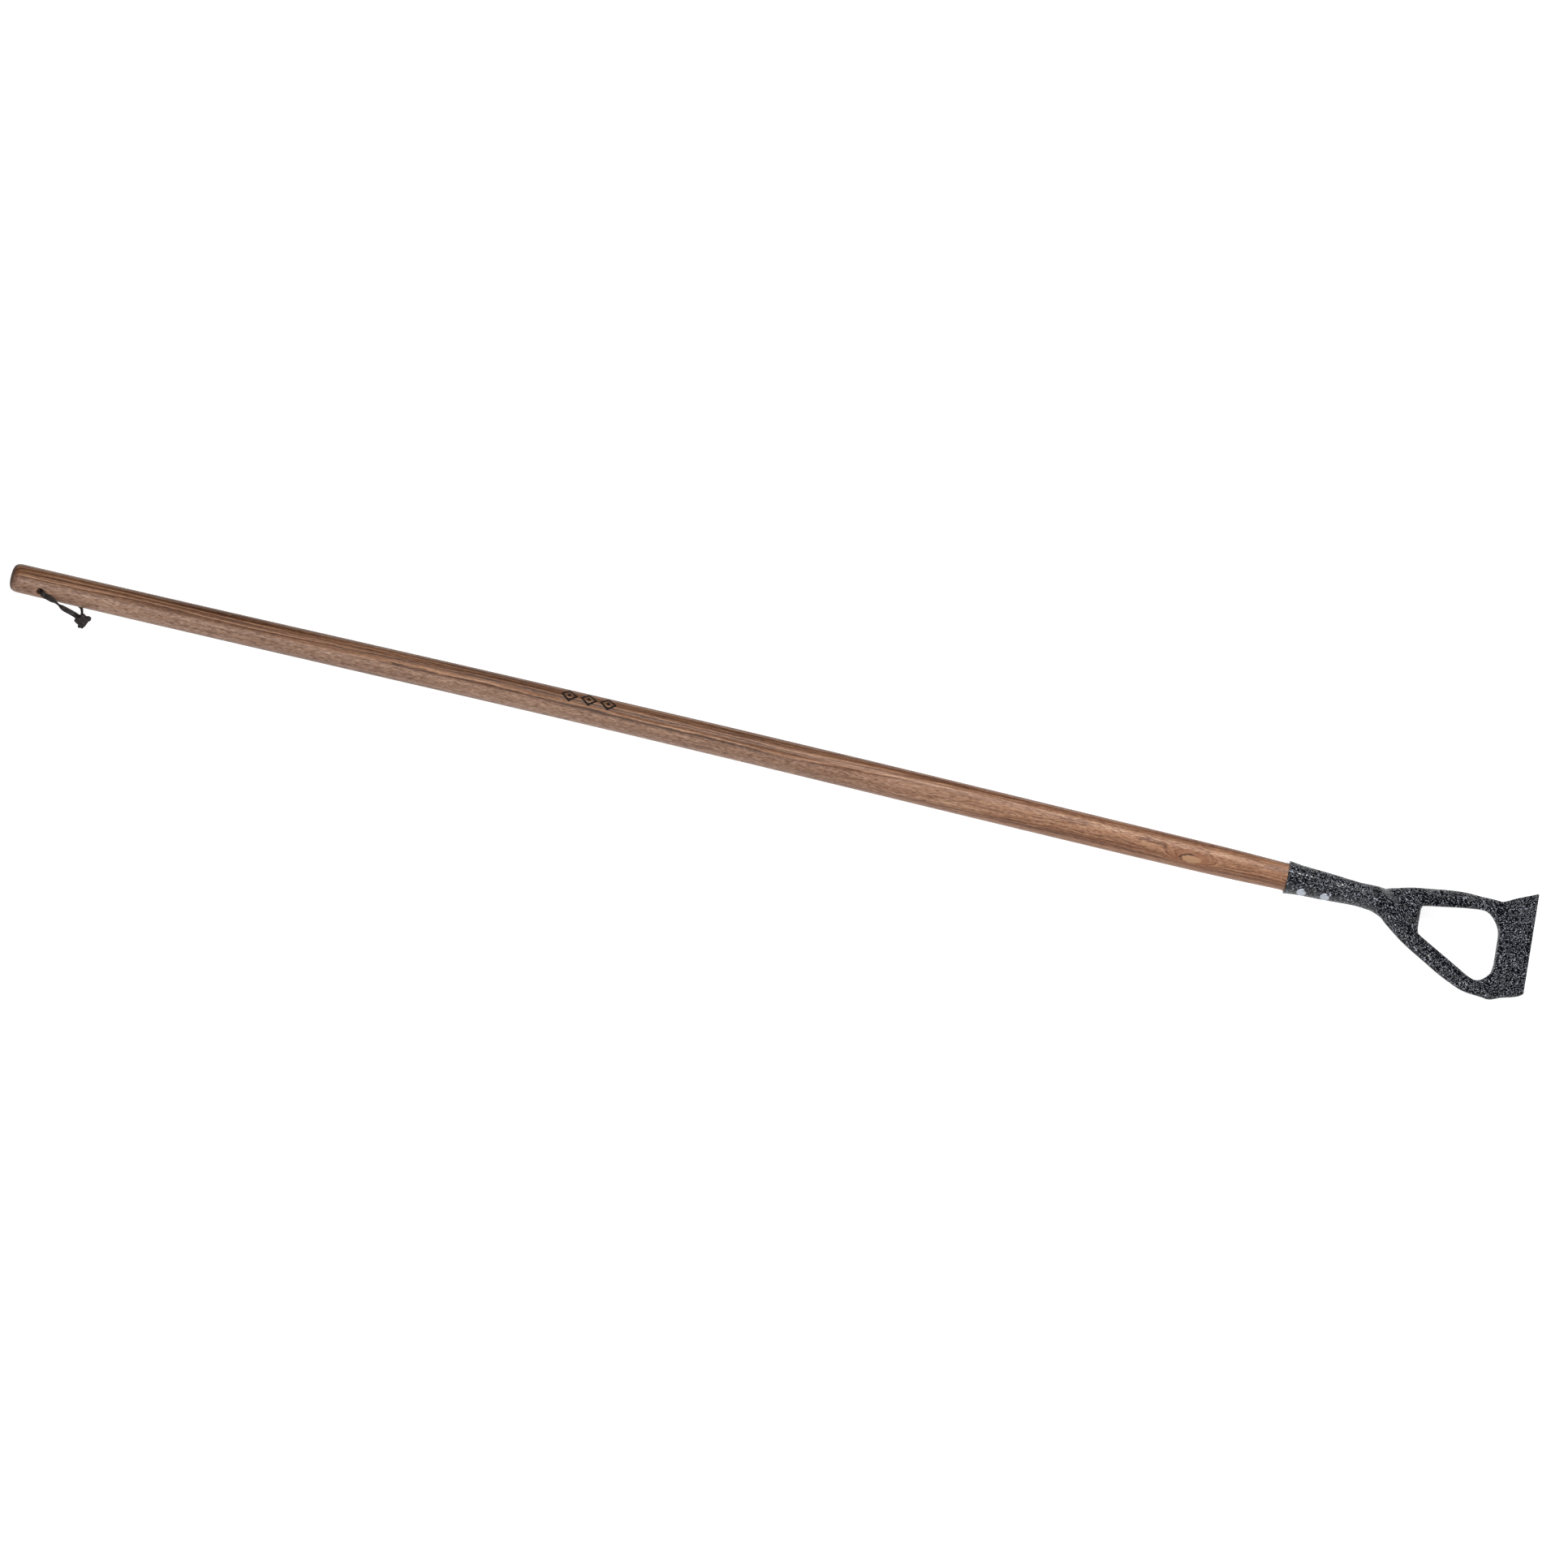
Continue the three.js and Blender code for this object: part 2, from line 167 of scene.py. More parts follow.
# ------------------------------------------------------------------ node helpers
class Shader:
    """A material with its Principled shader, and short calls that add linked nodes."""

    def __init__(self, name, **uniform):
        self.material = bpy.data.materials.new(name)
        self.material.use_nodes = True
        self.tree = self.material.node_tree
        self.shader = self.tree.nodes["Principled BSDF"]
        for socket, value in uniform.items():
            self.shader.inputs[socket.replace("_", " ")].default_value = value

    def node(self, kind, inputs=None, **settings):
        node = self.tree.nodes.new(kind)
        for key, value in settings.items():
            setattr(node, key, value)
        for key, value in (inputs or {}).items():
            self.link(value, node.inputs[key])
        return node

    def link(self, value, socket):
        if isinstance(value, bpy.types.NodeSocket):
            self.tree.links.new(value, socket)
        else:
            socket.default_value = value

    def math(self, operation, *values, clamp=False):
        node = self.node("ShaderNodeMath", operation=operation, use_clamp=clamp)
        for i, value in enumerate(values):
            self.link(value, node.inputs[i])
        return node.outputs[0]

    def vector(self, operation, *values):
        node = self.node("ShaderNodeVectorMath", operation=operation)
        for i, value in enumerate(values):
            self.link(value, node.inputs[i])
        return node.outputs["Value" if operation in ("LENGTH", "DOT_PRODUCT") else "Vector"]

    def scaled(self, place, scale, shift=(0, 0, 0)):
        node = self.node("ShaderNodeMapping", {"Vector": place, "Scale": scale, "Location": shift})
        return node.outputs["Vector"]

    def noise(self, place, scale=1.0, detail=3.0, roughness=0.5, distortion=0.0):
        inputs = {"Vector": place, "Scale": scale, "Detail": detail, "Roughness": roughness}
        inputs["Distortion"] = distortion
        return self.node("ShaderNodeTexNoise", inputs).outputs["Fac"]

    def ramp(self, value, *stops):
        node = self.node("ShaderNodeValToRGB", {"Fac": value})
        spare = node.color_ramp.elements
        while len(spare) < len(stops):
            spare.new(0.5)
        for element, (position, colour) in zip(spare, stops):
            element.position = position
            tone = colour if hasattr(colour, "__len__") else (colour, colour, colour)
            element.color = (*tone, 1.0)
        return node.outputs["Color"]

    def range(self, value, low, high, out_low=0.0, out_high=1.0, smooth=True):
        node = self.node("ShaderNodeMapRange", {"Value": value, "From Min": low, "From Max": high})
        node.interpolation_type = "SMOOTHSTEP" if smooth else "LINEAR"
        node.inputs["To Min"].default_value = out_low
        node.inputs["To Max"].default_value = out_high
        return node.outputs["Result"]

    def mix(self, share, first, second, blend="MIX"):
        node = self.node("ShaderNodeMix", data_type="RGBA", blend_type=blend)
        self.link(share, node.inputs["Factor"])
        for value, key in ((first, "A"), (second, "B")):
            socket = [s for s in node.inputs if s.name == key and s.type == "RGBA"][0]
            tone = (*value, 1.0) if isinstance(value, tuple) else value
            self.link(tone, socket)
        return [s for s in node.outputs if s.type == "RGBA"][0]

    def bump(self, height, distance, strength=1.0, normal=None):
        node = self.node("ShaderNodeBump", {"Height": height, "Strength": strength, "Distance": distance})
        if normal is not None:
            self.link(normal, node.inputs["Normal"])
        return node.outputs["Normal"]

    def place(self):
        """The surface point in the tool frame, in metres."""
        world = self.node("ShaderNodeTexCoord").outputs["Object"]
        inputs = {"Vector": world, "Location": TOOL_ORIGIN, "Rotation": (0, -TILT, 0)}
        return self.node("ShaderNodeMapping", inputs, vector_type="TEXTURE").outputs["Vector"]

    def set(self, socket, value):
        self.link(value, self.shader.inputs[socket])


# ------------------------------------------------------------------ leather lace
# The lace's route, as in the CAD model: [from the butt end, y, height above the ground].
LACE_FRONT = [
    [30.7, -0.3, 16.3], [31, -4, 17.2], [31.4, -8, 18.2], [31.8, -12, 19.2], [32.6, -14.8, 19.6],
    [34.5, -16.1, 18.9], [37.4, -16.3, 17.6], [41.7, -16.3, 15.8], [46, -16.4, 13.8],
    [49.8, -16.6, 11.6], [54, -17, 9], [59.7, -17.4, 6.8], [64.8, -17.9, 5.4], [68.6, -18.8, 4.8],
    [70.6, -19.6, 4.6],
]
LACE_BACK = [
    [30.7, 0.3, 16.1], [30.7, 4, 15.2], [30.7, 8, 14.2], [30.7, 12, 13.3], [31.2, 15.6, 12],
    [33, 18.2, 9.2], [36.4, 19.2, 5.6], [41, 18.6, 2.6], [46.6, 16.2, 1.4], [52.6, 12.8, 1.25],
    [58.6, 8.8, 1.25], [64.2, 4.6, 1.25], [69.4, 0.2, 1.3], [73, -4, 1.7], [75.2, -8.4, 2.6],
    [76, -12.8, 3.1], [76.4, -16.2, 3.6],
]
LACE_WIDTH = 5.2
LACE_THICKNESS = 1.9
KNOT_CENTRE = Vector((77.6, -24.1, 4.6))
HOLE_FROM_BUTT = 30.7
HOLE_ROLL = math.radians(14)
HOLE_RADIUS = 3.6


def on_ground(point_mm):
    """A route point as a world point in metres."""
    x, y, z = point_mm
    return Vector((BUTT_END + x * MM, y * MM, z * MM))


STEPS_PER_SPAN = 16


def spline(points, count):
    """A Catmull-Rom curve through the points, as count + 1 points evenly spaced along it."""
    p = np.array(points, float)
    ends = np.vstack([2 * p[0] - p[1], p, 2 * p[-1] - p[-2]])
    dense = []
    for i in range(1, len(ends) - 2):
        a, b, c, d = ends[i - 1 : i + 3]
        for t in np.linspace(0, 1, STEPS_PER_SPAN, endpoint=False):
            cubic = 2 * b + (c - a) * t + (2 * a - 5 * b + 4 * c - d) * t**2
            dense.append((cubic + (3 * b - a - 3 * c + d) * t**3) / 2)
    dense.append(p[-1])
    dense = np.array(dense)
    run = np.concatenate([[0], np.cumsum(np.linalg.norm(np.diff(dense, axis=0), axis=1))])
    wanted = np.linspace(0, run[-1], count + 1)
    return np.stack([np.interp(wanted, run, dense[:, k]) for k in range(3)], axis=1), run[-1]


STRIP_CORNER = 0.42
CORNER_STEPS = 4


def unit(rows):
    return rows / np.linalg.norm(rows, axis=1)[:, None]


def strip(name, line, thin_way, width, thickness, taper=None):
    """A flat strip with rounded edges, swept along line (metres). thin_way holds, for each
    point of the line, the direction that the strip's face looks, and taper its share of width."""
    corner = thickness * STRIP_CORNER
    section = []
    for quarter, (sx, sy) in enumerate(((1, 1), (-1, 1), (-1, -1), (1, -1))):
        for step in range(CORNER_STEPS):
            angle = math.pi / 2 * (quarter + step / (CORNER_STEPS - 1))
            section.append((
                sx * (width / 2 - corner) + corner * math.cos(angle),
                sy * (thickness / 2 - corner) + corner * math.sin(angle),
            ))
    tangents = unit(np.gradient(line, axis=0))
    wide_way = unit(np.cross(tangents, thin_way))
    thin_way = np.cross(wide_way, tangents)
    if taper is not None:
        wide_way = wide_way * np.asarray(taper)[:, None]
    vertices = []
    for point, wide, thin in zip(line, wide_way, thin_way):
        vertices += [point + wide * a + thin * b for a, b in section]
    ring = len(section)
    last = (len(line) - 1) * ring
    faces = [
        (r * ring + i, r * ring + (i + 1) % ring, (r + 1) * ring + (i + 1) % ring, (r + 1) * ring + i)
        for r in range(len(line) - 1)
        for i in range(ring)
    ]
    faces.append(tuple(range(ring))[::-1])
    faces.append(tuple(last + i for i in range(ring)))
    return add_mesh(name, vertices, faces)


def twisted(line, twist):
    """The way a strip's face looks along line: twist has rows of [share of the length, degrees],
    where 0 is a strip whose width is level."""
    angles = np.radians(hermite(twist, np.linspace(0, 1, len(line))))[:, None]
    tangents = unit(np.gradient(line, axis=0))
    side = unit(np.cross(tangents, (0, 0, 1.0)))
    upright = np.cross(side, tangents)
    return upright * np.cos(angles) - side * np.sin(angles)


def make_leather():
    s = Shader("lace_leather", Roughness=0.5, Specular_IOR_Level=0.2)
    place = s.place()
    blotch = s.noise(place, 180, 4, 0.6)
    grain = s.noise(place, 2200, 3, 0.6)
    scuff = s.range(s.noise(s.scaled(place, (300, 900, 900)), 1, 5, 0.7), 0.56, 0.72)
    base = s.ramp(blotch, (0.3, (0.004, 0.003, 0.0028)), (0.75, (0.017, 0.012, 0.0105)))
    s.set("Base Color", s.mix(scuff, base, (0.05, 0.036, 0.031)))
    s.set("Roughness", s.range(blotch, 0.3, 0.7, 0.42, 0.62))
    relief = s.math("ADD", s.math("MULTIPLY", blotch, 0.6), s.math("MULTIPLY", grain, 0.4))
    s.set("Normal", s.bump(relief, 0.00025, 0.8))
    return s.material


leather = make_leather()


STRAND_STEPS = 90


def make_strand(name, route, node, twist):
    """A strand of the lace: the piece, its path as points, and its length in metres."""
    line, length_mm = spline(route, STRAND_STEPS)
    line = np.array([on_ground(p) for p in line])
    piece = strip(name, line, twisted(line, twist), LACE_WIDTH * MM, LACE_THICKNESS * MM)
    piece.data.materials.append(leather)
    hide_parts(node)
    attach(piece, "root")
    return piece, [tuple(p) for p in line], length_mm * MM


# The knot's own directions: along the tool, up its near side, and out to the front and above.
KNOT_OUT = Vector((-0.07, -0.65, 0.75)).normalized()
KNOT_ALONG = (Vector((1, 0, 0)) - KNOT_OUT * KNOT_OUT.x).normalized()
KNOT_UP = KNOT_OUT.cross(KNOT_ALONG)
KNOT_AXIS = (KNOT_ALONG * 0.84 - KNOT_UP * 0.54).normalized()
KNOT_ROUND = KNOT_OUT.cross(KNOT_AXIS)
BAND_WIDTH = 5.6
BAND_THICKNESS = 2.0
WRAP_STEPS = 48
TAIL_STEPS = 24
KNOT_VOXEL = 0.32
GROUND_GAP = 0.1


def knot_wrap(name, shift, reach, depth, pitch, start, end):
    """A band wound about the knot's axis, on an oval of the two radii reach and depth."""
    line, facing = [], []
    for angle in np.radians(np.linspace(start, end, WRAP_STEPS)):
        across, out = math.cos(angle), math.sin(angle)
        slide = shift + pitch * (angle / math.pi - 0.5)
        line.append(on_ground(
            KNOT_CENTRE + KNOT_AXIS * slide + KNOT_ROUND * across * reach + KNOT_OUT * out * depth
        ))
        facing.append(KNOT_ROUND * across / reach + KNOT_OUT * out / depth)
    return strip(name, np.array(line), np.array(facing), BAND_WIDTH * MM, BAND_THICKNESS * MM)


def knot_tail(name, route, width, thickness, taper, facing=(0, 0, 1)):
    """A short end of the lace: route, facing and taper run along, up and out of the knot."""
    axes = np.array([KNOT_ALONG, KNOT_UP, KNOT_OUT])
    line, _ = spline(route, TAIL_STEPS)
    places = np.array([on_ground(KNOT_CENTRE + Vector(p @ axes)) for p in line])
    shares = np.interp(np.linspace(0, 1, len(line)), np.linspace(0, 1, len(taper)), taper)
    look = np.tile(np.array(facing) @ axes, (len(line), 1))
    return strip(name, places, look, width * MM, thickness * MM, shares)


def make_knot():
    """An overhand knot pulled tight: two turns round a core, where both strands come in and
    a folded end and a cut end go out."""
    bands = [
        knot_wrap("lace_knot_tied", -2.1, 5.1, 3.8, -1.6, -70, 245),
        knot_wrap("turn", 2.4, 4.9, 4.1, 1.8, -60, 250),
        knot_tail("core", [[-4.8, 3.6, -0.6], [-3, 2, 0], [2, -1, 0.2], [5, -2.4, 0]], 7.6, 6,
                  [0.6, 1, 1, 0.8]),
        knot_tail("front_entry", [[-9.2, 4.2, -2.7], [-7.2, 3.4, -2.4], [-4, 2.2, -1.2], [0, 0.5, 0]],
                  5.3, 2.3, [1, 1, 1, 1]),
        knot_tail("back_entry", [[-2.1, 7.1, -7.9], [-1.6, 5.3, -5.8], [-1, 3.2, -3.4], [-0.5, 1, -1]],
                  5.3, 2.3, [1, 1, 1, 1], facing=(1, 0, 0)),
        knot_tail("fold", [[1, 0.5, 0.5], [3.6, 2.2, 1.4], [5.6, 3.1, 1.6], [7.4, 3.2, 0.9]], 5.2, 4.8,
                  [1, 1, 1.15, 0.8]),
        knot_tail("cut_end", [[2, 0, -1], [0.5, -3.5, -1], [-1, -6.2, -0.8], [-2, -8, -0.6]], 6.5, 2.6,
                  [1, 1.1, 0.9, 0.35]),
    ]
    with bpy.context.temp_override(active_object=bands[0], selected_editable_objects=bands):
        bpy.ops.object.join()
    merge = bands[0].modifiers.new("merge", "REMESH")
    merge.mode = "VOXEL"
    merge.voxel_size = KNOT_VOXEL * MM
    merge.use_smooth_shade = True
    ease = bands[0].modifiers.new("ease", "SMOOTH")
    ease.factor = 0.5
    ease.iterations = 4
    apply_modifiers(bands[0])
    for vertex in bands[0].data.vertices:
        vertex.co.z = max(vertex.co.z, GROUND_GAP * MM)
    return bands[0]


front, front_path, front_length = make_strand(
    "lace_front_strand", LACE_FRONT, "lace_front",
    [[0, -90], [0.2, -84], [0.28, -56], [0.36, -42], [0.47, -60], [0.56, -116], [0.65, -142],
     [0.76, -205], [0.87, -221], [0.94, -228], [1, -250]],
)
back, back_path, back_length = make_strand(
    "lace_back_strand", LACE_BACK, "lace_back",
    [[0, 0], [0.2, 0], [0.42, 0], [0.52, 0], [0.78, 0], [0.85, 20], [0.92, 60], [1, 85]],
)
knot = make_knot()
knot.data.materials.append(leather)
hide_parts("lace_knot")
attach(knot, "root")


# ------------------------------------------------------------------ steel head
RIVET_STATIONS = (16.8, 40.3)
RIVET_BORE_RADIUS = 3.1
SOCKET_LENGTH = 88.0
SOCKET_CAVITY_DEPTH = 84.0
SOCKET_WALL = 2.1
SOCKET_PROFILE = [
    [0, SOCKET_MOUTH_RADIUS], [5, 15.8], [12, 15.0], [21, 14.5], [40, 13.7], [63, 12.3],
    [SOCKET_LENGTH, 11.1], [97, 9.9], [106, 7.2], [113, 3.5], [118, -1.5], [128, -14],
]
SOCKET_AXIS = [[0, 0], [15, 0], [SOCKET_LENGTH, -1], [97, -3.2], [106, -6.4], [118, -10.5]]
YOKE_DROOP = [
    [80, -0.6], [88, -1.4], [97, -3.8], [110, -8.2], [135, -14.8], [160, -20.6], [185, -26.2],
    [203, -31.6], [HEEL_X, -35.5],
]
YOKE_THICKNESS = [[80, 21], [88, 19.6], [100, 13.4], [115, 10.6], [135, 9.8], [HEEL_X, 7.8]]
BLADE_TOP = [[HEEL_X, -31.6], [221.5, -30], [227, -26.8], [238, -20.27], [249.9, -13.2]]
BLADE_UNDER = [
    [HEEL_X, -39.4], [220.5, -38.2], [224.5, -34.8], [229.5, -29.9], [244.6, -20.6], [250.4, -14.1],
]
EDGE_ROUND = [[80, 11], [92, 10], [110, 8.5], [200, 8], [HEEL_X, 4], [228, 1.2], [251, 0.9]]
BLADE_LEAN = math.radians(31)
YOKE_LEAN = math.radians(14)
MOUTH_LIP = 0.5

# The yoke's top is crowned across (drop per mm squared), and dished where the arms part.
CROWN = 0.0014
CROWN_ENDS = (HEEL_X + 1, HEEL_X - 30)
DISH_X = 122.0
DISH_DEPTH = 1.6
DISH_LENGTH = 13.0
DISH_WIDTH = 14.0
OUTER_EDGE = [
    [87, 11], [97, 16.6], [106, 23.4], [125, 35.6], [149, 46.8], [168, 55.2], [187, 61],
    [203, 62.7], [HEEL_X, 62.8],
]
OPENING_EDGE = [
    [137.5, 12], [138.5, 16.6], [141, 20], [165, 31], [188, 41.3], [197, 44.8], [204, 45.4],
    [210.6, 40.4], [216.4, 31], [218.3, 21], [218.6, 10],
]
BLADE_FRONT_X = 250.4
BLADE_HALF_WIDTH = 66.0
BLADE_CORNER = 2.0
NECK_BLEND = 8.0
NECK_BLEND_GROWS = (64, 96)
GRID_STEP = 0.7


def half_curve(points, per_span):
    line, _ = spline([[x, y, 0] for x, y in points], per_span * (len(points) - 1))
    return line[:, :2]


def mirrored(half):
    """A closed outline from its +Y half, which runs from one end of the symmetry line to the other."""
    other = half[::-1] * np.array([1, -1])
    return np.vstack([half, other])


def head_outlines():
    side = half_curve(OUTER_EDGE, 5)
    centre = np.array([BLADE_FRONT_X - BLADE_CORNER, BLADE_HALF_WIDTH - BLADE_CORNER])
    corner = [
        centre + BLADE_CORNER * np.array([math.sin(a), math.cos(a)])
        for a in np.linspace(0, math.pi / 2, 5)
    ]
    outer = mirrored(np.vstack([[[60, 11]], side, corner]))
    opening = mirrored(half_curve(OPENING_EDGE, 5))
    return outer, opening


def signed_distance(outline, x, y):
    """Distance to a closed outline, negative inside it."""
    nearest = np.full(x.shape, np.inf)
    inside = np.zeros(x.shape, bool)
    for (ax, ay), (bx, by) in zip(outline, np.roll(outline, -1, axis=0)):
        ex, ey = bx - ax, by - ay
        if ex * ex + ey * ey == 0:
            continue
        t = np.clip(((x - ax) * ex + (y - ay) * ey) / (ex * ex + ey * ey), 0, 1)
        nearest = np.minimum(nearest, (x - ax - t * ex) ** 2 + (y - ay - t * ey) ** 2)
        if ay != by:
            crosses = (ay > y) != (by > y)
            inside ^= crosses & (x < ax + (y - ay) * ex / ey)
    return np.sqrt(nearest) * np.where(inside, -1, 1)


OUTER_OUTLINE, OPENING_OUTLINE = head_outlines()


def smooth_union(a, b, radius):
    share = np.clip(0.5 + 0.5 * (b - a) / radius, 0, 1)
    return b + (a - b) * share - radius * share * (1 - share)


def head_field(x, y, z, plan):
    """Below zero inside the steel. plan is the signed distance to the plan outline."""
    in_blade = x > HEEL_X
    middle = hermite(YOKE_DROOP, x)
    thick = hermite(YOKE_THICKNESS, x)
    top = np.where(in_blade, hermite(BLADE_TOP, x), middle + thick / 2)
    under = np.where(in_blade, hermite(BLADE_UNDER, x), middle - thick / 2)
    crown = CROWN * y * y * smoothstep(*CROWN_ENDS, x)
    dish = DISH_DEPTH * np.exp(-(((x - DISH_X) / DISH_LENGTH) ** 2) - (y / DISH_WIDTH) ** 2)
    top = top - crown - dish
    under = under - crown
    centre = (top + under) / 2
    half = (top - under) / 2
    lean = np.where(in_blade, math.cos(BLADE_LEAN), math.cos(YOKE_LEAN))
    edge = hermite(EDGE_ROUND, x)
    outward = np.maximum(1 + plan / edge, 0)
    upward = np.abs(z - centre) / half
    slab = (np.sqrt(outward**2 + upward**2) - 1) * half * lean

    radial = np.sqrt(y * y + (z - hermite(SOCKET_AXIS, x)) ** 2)
    cone = radial - hermite(SOCKET_PROFILE, x)
    body = smooth_union(slab, cone, 0.1 + NECK_BLEND * smoothstep(*NECK_BLEND_GROWS, x))
    cavity = np.maximum(cone + SOCKET_WALL, x - SOCKET_CAVITY_DEPTH)
    mouth = np.hypot(np.maximum(MOUTH_LIP - x, 0), np.maximum(body + MOUTH_LIP, 0)) - MOUTH_LIP
    body = np.where((x < MOUTH_LIP) & (body > -MOUTH_LIP), mouth, np.maximum(body, -x))
    body = np.maximum(body, -cavity)
    for station in RIVET_STATIONS:
        bore = RIVET_BORE_RADIUS - np.sqrt((x - station) ** 2 + z * z)
        body = np.maximum(body, bore)
    return body


def plan_distance(x, y):
    return np.maximum(signed_distance(OUTER_OUTLINE, x, y), -signed_distance(OPENING_OUTLINE, x, y))


def surface_net(field, low, step):
    """Vertices and quads of the zero surface of a field sampled on a regular grid."""
    inside = field < 0
    cells = tuple(n - 1 for n in field.shape)
    corners = [(i, j, k) for i in (0, 1) for j in (0, 1) for k in (0, 1)]
    count = sum(
        inside[i : i + cells[0], j : j + cells[1], k : k + cells[2]].astype(np.int8) for i, j, k in corners
    )
    active = np.argwhere((count > 0) & (count < 8))
    total = np.zeros((len(active), 3))
    crossings = np.zeros(len(active))
    for a in corners:
        for axis in range(3):
            if a[axis]:
                continue
            b = tuple(v + (n == axis) for n, v in enumerate(a))
            fa = field[tuple((active + a).T)]
            fb = field[tuple((active + b).T)]
            cut = (fa < 0) != (fb < 0)
            t = np.where(cut, fa / np.where(cut, fa - fb, 1), 0)
            point = np.array(a, float) + t[:, None] * (np.array(b) - np.array(a))
            total += np.where(cut[:, None], point, 0)
            crossings += cut
    vertices = low + (active + total / crossings[:, None]) * step
    number = np.full(cells, -1)
    number[tuple(active.T)] = np.arange(len(active))
    faces = []
    for axis in range(3):
        u, v = (axis + 1) % 3, (axis + 2) % 3
        ahead = np.roll(inside, -1, axis)
        edges = np.argwhere(inside != ahead)
        keep = (edges[:, axis] < cells[axis]) & (edges[:, u] > 0) & (edges[:, v] > 0)
        keep &= (edges[:, u] < cells[u]) & (edges[:, v] < cells[v])
        edges = edges[keep]
        quad = []
        for du, dv in ((-1, -1), (0, -1), (0, 0), (-1, 0)):
            cell = edges.copy()
            cell[:, u] += du
            cell[:, v] += dv
            quad.append(number[tuple(cell.T)])
        quad = np.stack(quad, axis=1)
        flip = ~inside[tuple(edges.T)]
        quad[flip] = quad[flip][:, ::-1]
        faces.append(quad)
    return vertices, np.vstack(faces)


def settle(vertices, passes=2, nudge=0.05, longest_move=0.35):
    """Moves vertices onto the field's zero surface."""
    for _ in range(passes):
        x, y, z = vertices.T
        here = head_field(x, y, z, plan_distance(x, y))
        slope = np.empty_like(vertices)
        for k in range(3):
            moved = vertices.copy()
            moved[:, k] += nudge
            px, py, pz = moved.T
            slope[:, k] = (head_field(px, py, pz, plan_distance(px, py)) - here) / nudge
        size = np.maximum((slope**2).sum(1), 0.05)
        move = -(here / size)[:, None] * slope
        length = np.linalg.norm(move, axis=1)
        vertices = vertices + move * np.minimum(1, longest_move / np.maximum(length, 1e-9))[:, None]
    return vertices


HEAD_LOW = np.array([-1.5, -68.0, -43.0])
HEAD_HIGH = np.array([253.0, 68.0, 19.0])


def make_head():
    low, high = HEAD_LOW, HEAD_HIGH
    axes = [np.arange(low[k], high[k] + GRID_STEP, GRID_STEP) for k in range(3)]
    flat_x, flat_y = np.meshgrid(axes[0], axes[1], indexing="ij")
    plan = plan_distance(flat_x, flat_y)[:, :, None]
    x, y = flat_x[:, :, None], flat_y[:, :, None]
    field = head_field(x, y, axes[2][None, None, :], plan)
    vertices, faces = surface_net(field, low, GRID_STEP)
    vertices = settle(vertices)
    return add_mesh("forged_head", to_world(vertices), faces)


def make_hammered_paint():
    """Black hammered enamel: short silvery worms on a near-black ground, with a dimpled gloss."""
    s = Shader("hammered_paint", Roughness=0.3, Specular_IOR_Level=0.36)
    place = s.place()
    worm = s.noise(place, 365, 0.4, 0.4)
    off_level = s.math("ABSOLUTE", s.math("SUBTRACT", worm, 0.5))
    vein = s.range(off_level, 0.0, 0.06, 1.0, 0.0)
    broken = s.range(s.noise(place, 540, 0.0, 0.5), 0.4, 0.5)
    silver = s.math("MULTIPLY", vein, broken)
    s.set("Base Color", s.ramp(
        silver, (0.0, (0.0028, 0.0031, 0.0052)), (0.3, (0.012, 0.0135, 0.02)), (1.0, (0.34, 0.355, 0.415)),
    ))
    s.set("Roughness", s.range(silver, 0.0, 1.0, 0.22, 0.34))
    relief = s.math("ADD", s.range(worm, 0.3, 0.7), s.math("MULTIPLY", silver, 0.35))
    s.set("Normal", s.bump(relief, 0.0011, 0.95))
    return s.material


head = make_head()
head.data.materials.append(make_hammered_paint())
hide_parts("socket", "yoke", "blade")
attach(head, "root")

# ------------------------------------------------------------------ rivets
RIVET_SHANK_RADIUS = 2.9
RIVET_HEAD = (4.8, 1.5)
RIVET_TAIL = (4.3, 1.2)
RIVET_SINK = 1.1
RIVET_RIM = 0.15
RIVET_CROWN_POWER = 0.62
RIVET_SIDES = 48
POLE_RADIUS = 0.05


def rivet_profile(wall):
    """Rows of [distance along the rivet, radius], from the tail's crown to the head's."""

    def dome(radius, height):
        base, rim = wall - RIVET_SINK, wall + RIVET_RIM
        rows = [[base, RIVET_SHANK_RADIUS], [base, radius], [rim, radius]]
        for angle in np.linspace(0.1, math.pi / 2, 9):
            rows.append([
                rim + (height - RIVET_RIM) * math.sin(angle),
                radius * math.cos(angle) ** RIVET_CROWN_POWER,
            ])
        return rows

    tail = [[-at, radius] for at, radius in dome(*RIVET_TAIL)]
    return tail[::-1] + dome(*RIVET_HEAD)


def lathe(rows, segments):
    """Points and faces of a body turned about its length; the ends close on the axis."""
    points, faces = [], []
    for at, radius in rows:
        for k in range(segments):
            angle = 2 * math.pi * k / segments
            points.append((at, radius * math.cos(angle), radius * math.sin(angle)))
    for r in range(len(rows) - 1):
        for k in range(segments):
            a, b = r * segments + k, r * segments + (k + 1) % segments
            faces.append((a, b, b + segments, a + segments))
    faces.append(tuple(range(segments))[::-1])
    faces.append(tuple(range((len(rows) - 1) * segments, len(rows) * segments)))
    return np.array(points), faces


def make_rivet_metal():
    s = Shader("rivet_metal", Metallic=1.0, Roughness=0.3)
    place = s.place()
    tarnish = s.noise(place, 420, 4, 0.6)
    scratch = s.noise(s.scaled(place, (5000, 900, 900)), 1, 2, 0.5)
    s.set("Base Color", s.ramp(tarnish, (0.3, (0.3, 0.32, 0.36)), (0.7, (0.47, 0.5, 0.55))))
    s.set("Roughness", s.range(tarnish, 0.3, 0.7, 0.42, 0.58))
    s.set("Normal", s.bump(s.math("ADD", scratch, tarnish), 0.00006, 0.6))
    return s.material


